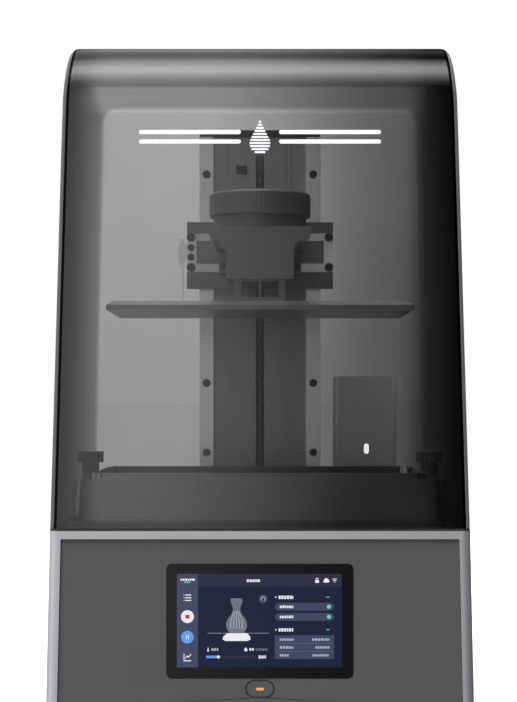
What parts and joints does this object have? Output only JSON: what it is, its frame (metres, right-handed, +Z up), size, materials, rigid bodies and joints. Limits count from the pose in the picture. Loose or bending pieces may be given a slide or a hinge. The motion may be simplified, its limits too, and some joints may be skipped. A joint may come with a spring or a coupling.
{
  "type": "resin 3d printer",
  "caption": "Desktop masked-stereolithography resin printer with smoked lift-off hood, twin-rail Z axis, build plate, film vat and touch-display base.",
  "frame": {"origin": "middle of the footprint, on the surface that the feet stand on", "axes": "+Z up, front with the display faces -Y, +X to the right seen from the front"},
  "size_m": [0.4, 0.43, 0.648],
  "materials": {
    "silver_shell": "satin silver paint",
    "dark_panel": "fine satin dark grey",
    "black_metal": "powder coat",
    "black_anodised": "black anodised",
    "raw_aluminium": "bead blasted",
    "plate_aluminium": "dark anodised, brushed sole",
    "vat_metal": "dark anodised",
    "bright_metal": "sheet metal",
    "ground_steel": "ground",
    "black_steel": "black oxide",
    "brass_nut": "turned",
    "black_rubber": "matt",
    "black_plastic": "fine texture",
    "knob_plastic": "fine texture",
    "purifier_plastic": "satin",
    "display_glass": "gloss black glass",
    "screen_glass": "gloss",
    "clear_lens": "clear",
    "clear_film": "clear film",
    "smoked_plastic": "smoked, gloss",
    "green_board": "solder mask",
    "white_board": "solder mask",
    "filter_paper": "pleated paper",
    "orange_light": "lit",
    "white_light": "lit"
  },
  "bodies": {
    "base": {"base_shell": "silver_shell", "front_panel": "dark_panel", "bottom_plate": "black_metal", "deck_plate": "black_metal", "rubber_feet": "black_rubber", "case_screws": "black_steel", "display_glass": "display_glass", "display_module": "black_plastic", "button_ring": "black_plastic", "button_switch": "green_board", "masking_screen": "screen_glass", "screen_frame": "black_plastic", "fresnel_lens": "clear_lens", "light_reflector": "bright_metal", "led_board": "white_board", "heat_sink": "raw_aluminium", "light_fan_frame": "black_plastic", "main_board": "green_board", "power_supply": "bright_metal", "vent_grille": "black_metal", "rear_fan_frame": "black_plastic", "power_inlet": "black_plastic", "usb_port": "bright_metal", "column_body": "black_anodised", "column_cap": "black_plastic", "guide_rails": "ground_steel", "rail_screws": "black_steel", "z_motor": "black_metal", "top_bearing": "raw_aluminium", "limit_sensor": "black_plastic"},
    "hood": {"hood_shell": "smoked_plastic", "hood_seal": "black_rubber"},
    "carriage": {"bearing_blocks": "ground_steel", "carriage_plate": "black_anodised", "carriage_screws": "black_steel", "drive_nut": "brass_nut", "support_arm": "black_anodised", "sensor_flag": "bright_metal"},
    "screw": {"lead_screw": "ground_steel", "shaft_coupler": "raw_aluminium"},
    "knob": {"locking_knob": "knob_plastic", "clamp_screw": "ground_steel"},
    "plate": {"build_plate": "plate_aluminium", "plate_bracket": "black_anodised", "plate_screws": "black_steel"},
    "vat": {"vat_body": "vat_metal", "release_film": "clear_film", "film_frame": "raw_aluminium", "film_screws": "black_steel"},
    "thumb_left": {"vat_screw_left": "knob_plastic"},
    "thumb_right": {"vat_screw_right": "knob_plastic"},
    "button": {"power_button": "dark_panel", "button_light": "orange_light"},
    "rocker": {"rocker_switch": "black_plastic"},
    "light_fan": {"light_fan_rotor": "black_plastic"},
    "rear_fan": {"rear_fan_rotor": "black_plastic"},
    "purifier": {"purifier_case": "purifier_plastic", "purifier_filter": "filter_paper", "purifier_light": "white_light"},
    "purifier_rotor": {"purifier_fan": "black_plastic"}
  },
  "joints": [
    {"name": "hood_lift", "type": "slide", "parent": "base", "child": "hood", "axis": [0, 0, 1], "range_m": [0, 0.44]},
    {"name": "z_travel", "type": "slide", "parent": "base", "child": "carriage", "axis": [0, 0, 1], "range_m": [-0.2035, 0.096]},
    {"name": "screw_spin", "type": "hinge", "parent": "base", "child": "screw", "pos_m": [0, 0.1, 0.3], "axis": [0, 0, 1], "continuous": true},
    {"name": "knob_turn", "type": "hinge", "parent": "carriage", "child": "knob", "pos_m": [0, -0.064, 0.5], "axis": [0, 0, 1], "range_deg": [0, 540]},
    {"name": "plate_pull", "type": "slide", "parent": "carriage", "child": "plate", "axis": [0, -1, 0], "range_m": [0, 0.032]},
    {"name": "vat_lift", "type": "slide", "parent": "base", "child": "vat", "axis": [0, 0, 1], "range_m": [0, 0.12]},
    {"name": "thumb_left_turn", "type": "hinge", "parent": "vat", "child": "thumb_left", "pos_m": [-0.172, -0.064, 0.24], "axis": [0, 0, 1], "range_deg": [0, 1080]},
    {"name": "thumb_right_turn", "type": "hinge", "parent": "vat", "child": "thumb_right", "pos_m": [0.172, -0.064, 0.24], "axis": [0, 0, 1], "range_deg": [0, 1080]},
    {"name": "button_press", "type": "slide", "parent": "base", "child": "button", "axis": [0, 1, 0], "range_m": [0, 0.001], "stiffness_N_per_m": 800},
    {"name": "rocker_tilt", "type": "hinge", "parent": "base", "child": "rocker", "pos_m": [0.12, 0.209, 0.092], "axis": [1, 0, 0], "range_deg": [0, 12]},
    {"name": "light_fan_spin", "type": "hinge", "parent": "base", "child": "light_fan", "pos_m": [0, -0.064, 0.025], "axis": [0, 0, 1], "continuous": true},
    {"name": "rear_fan_spin", "type": "hinge", "parent": "base", "child": "rear_fan", "pos_m": [-0.11, 0.2, 0.098], "axis": [0, 1, 0], "continuous": true},
    {"name": "purifier_lift", "type": "slide", "parent": "base", "child": "purifier", "axis": [0, 0, 1], "range_m": [0, 0.15]},
    {"name": "purifier_fan_spin", "type": "hinge", "parent": "purifier", "child": "purifier_rotor", "pos_m": [0.11525, 0.095, 0.29], "axis": [0, 0, 1], "continuous": true}
  ],
  "couplings": [
    {"joint": "screw_spin", "follows": "z_travel", "rad_per_m": 785.4}
  ]
}
